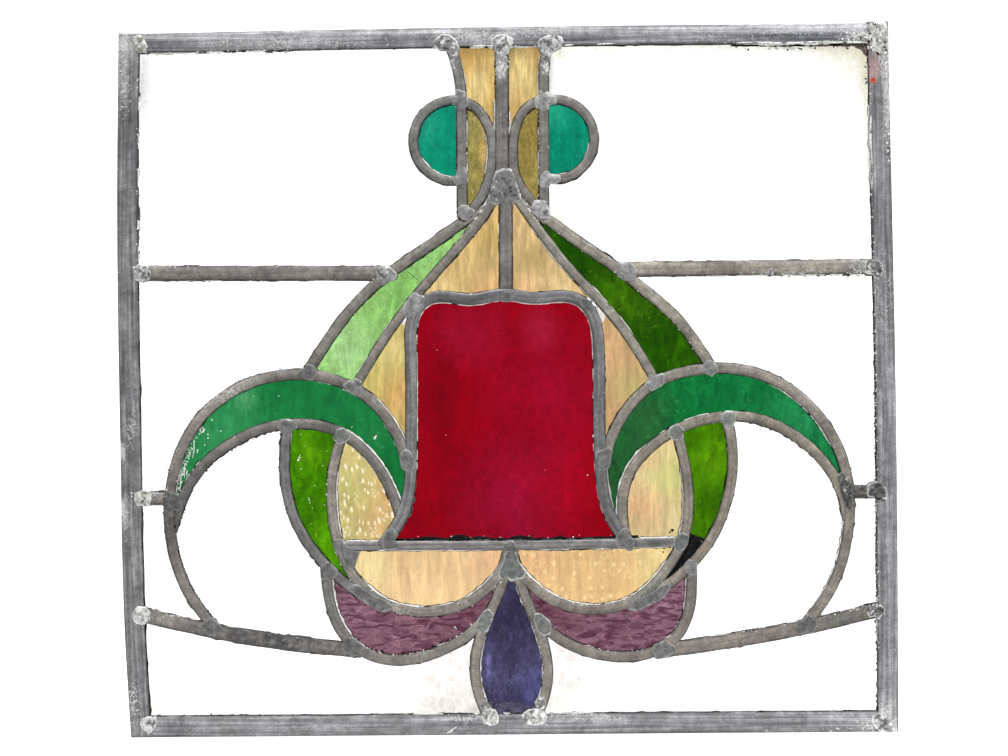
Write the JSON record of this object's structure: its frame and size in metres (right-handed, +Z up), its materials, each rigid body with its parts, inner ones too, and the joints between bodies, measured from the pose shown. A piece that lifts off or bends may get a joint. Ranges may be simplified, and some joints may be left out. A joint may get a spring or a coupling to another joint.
{
  "type": "stained glass window panel",
  "caption": "Nearly square leaded light: a stylised flower in coloured glass on clear textured glass, in lead cames soldered at the joints, with a wide flat border came.",
  "frame": {"origin": "middle of the underside of the bottom border came, half way through its thickness", "axes": "+Z up the panel, +X to the right seen from the front, front face towards -Y"},
  "size_m": [0.3882, 0.0064, 0.3545],
  "materials": {
    "lead": "dull grey lead, rubbed brighter on the leaves, dark in the corners",
    "clear": "clear cathedral glass, lightly textured",
    "amber": "streaky amber opalescent glass",
    "olive": "olive amber glass",
    "teal": "teal cathedral glass",
    "light_green": "pale green cathedral glass",
    "dark_green": "dark green cathedral glass",
    "red": "deep red glass, mottled",
    "arch_green": "emerald green cathedral glass",
    "leaf_green": "bright leaf green hammered glass",
    "mauve": "mauve rippled glass",
    "violet": "deep violet reeded glass",
    "cement": "black glazing cement"
  },
  "bodies": {
    "root": {"border_came_left": "lead", "border_came_right": "lead", "border_came_top": "lead", "border_came_bottom": "lead", "came_centre": "lead", "came_stem_ring_left": "lead", "came_stem_ring_right": "lead", "came_inner_blade_left": "lead", "came_inner_blade_right": "lead", "came_crossbar_blade_left": "lead", "came_crossbar_blade_right": "lead", "came_flower_surround": "lead", "came_base_bar": "lead", "came_outer_arch_left": "lead", "came_outer_arch_right": "lead", "came_inner_arch_left": "lead", "came_inner_arch_right": "lead", "came_cup_left": "lead", "came_cup_right": "lead", "came_leaf_left": "lead", "came_leaf_right": "lead", "came_petal_left": "lead", "came_petal_right": "lead", "came_drop": "lead", "clear_pane_top_left": "clear", "clear_pane_top_right": "clear", "clear_pane_middle_left": "clear", "clear_pane_middle_right": "clear", "clear_pane_side_left": "clear", "clear_pane_side_right": "clear", "clear_pane_oval_left": "clear", "clear_pane_oval_right": "clear", "clear_pane_bottom_left": "clear", "clear_pane_bottom_right": "clear", "amber_stem_pane_left": "amber", "amber_stem_pane_right": "amber", "olive_lens_pane_left": "olive", "olive_lens_pane_right": "olive", "teal_pane_left": "teal", "teal_pane_right": "teal", "amber_triangle_pane_left": "amber", "amber_triangle_pane_right": "amber", "green_blade_pane_left": "light_green", "green_blade_pane_right": "dark_green", "amber_side_pane_left": "amber", "amber_side_pane_right": "amber", "red_flower_pane": "red", "green_arch_pane_left": "arch_green", "green_arch_pane_right": "arch_green", "green_leaf_pane_left": "leaf_green", "green_leaf_pane_right": "leaf_green", "amber_teardrop_pane_left": "amber", "amber_teardrop_pane_right": "amber", "amber_cup_pane_left": "amber", "amber_cup_pane_right": "amber", "mauve_petal_pane_left": "mauve", "mauve_petal_pane_right": "mauve", "violet_drop_pane": "violet", "cement_fill_leaf_tip": "cement"}
  },
  "joints": []
}
